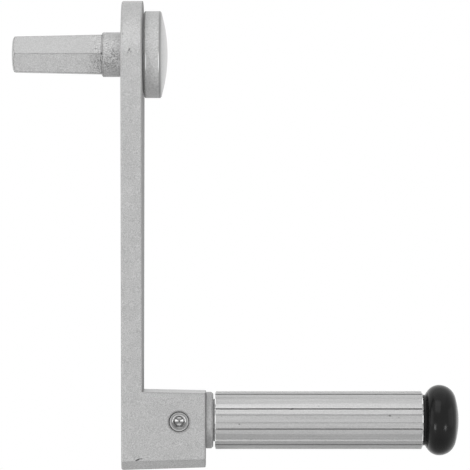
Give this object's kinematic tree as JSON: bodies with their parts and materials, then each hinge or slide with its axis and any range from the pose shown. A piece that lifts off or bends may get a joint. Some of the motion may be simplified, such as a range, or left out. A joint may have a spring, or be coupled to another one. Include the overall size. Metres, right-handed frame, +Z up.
{
  "type": "crank handle",
  "caption": "Crank handle with a tapered hexagonal drive spindle, a tapering arm and a fluted grip that turns freely on its axle.",
  "frame": {"origin": "on the drive spindle's axis, in the plane where the spindle's collar meets the arm's seat face", "axes": "+X along the spindle and grip towards the end cap, +Z up from the grip to the hub, +Y away from the face that holds the set screw"},
  "size_m": [0.2199, 0.0528, 0.2303],
  "materials": {
    "cast_arm": "cast, silver grey, fine grain",
    "forged_spindle": "forged, silver grey",
    "satin_cap": "satin turned",
    "anodised_grip": "satin anodised",
    "dull_collar": "dull grey",
    "plain_steel": "machined",
    "bright_screw": "bright",
    "bearing_polymer": "pale grey bearing plastic",
    "black_knob": "glossy black"
  },
  "bodies": {
    "crank": {"crank_arm": "cast_arm", "drive_spindle": "forged_spindle", "hub_washer": "plain_steel", "lock_washer": "plain_steel", "spindle_nut": "plain_steel", "hub_cap": "satin_cap", "grip_axle": "plain_steel", "axle_screw": "bright_screw", "thrust_collar": "dull_collar", "end_washer": "plain_steel", "retaining_ring": "plain_steel", "end_cap": "black_knob"},
    "grip": {"grip_sleeve": "anodised_grip", "inner_bush": "bearing_polymer", "outer_bush": "bearing_polymer"}
  },
  "joints": [
    {"name": "grip_spin", "type": "hinge", "parent": "crank", "child": "grip", "pos_m": [0.097, 0, -0.18], "axis": [1, 0, 0], "continuous": true}
  ]
}
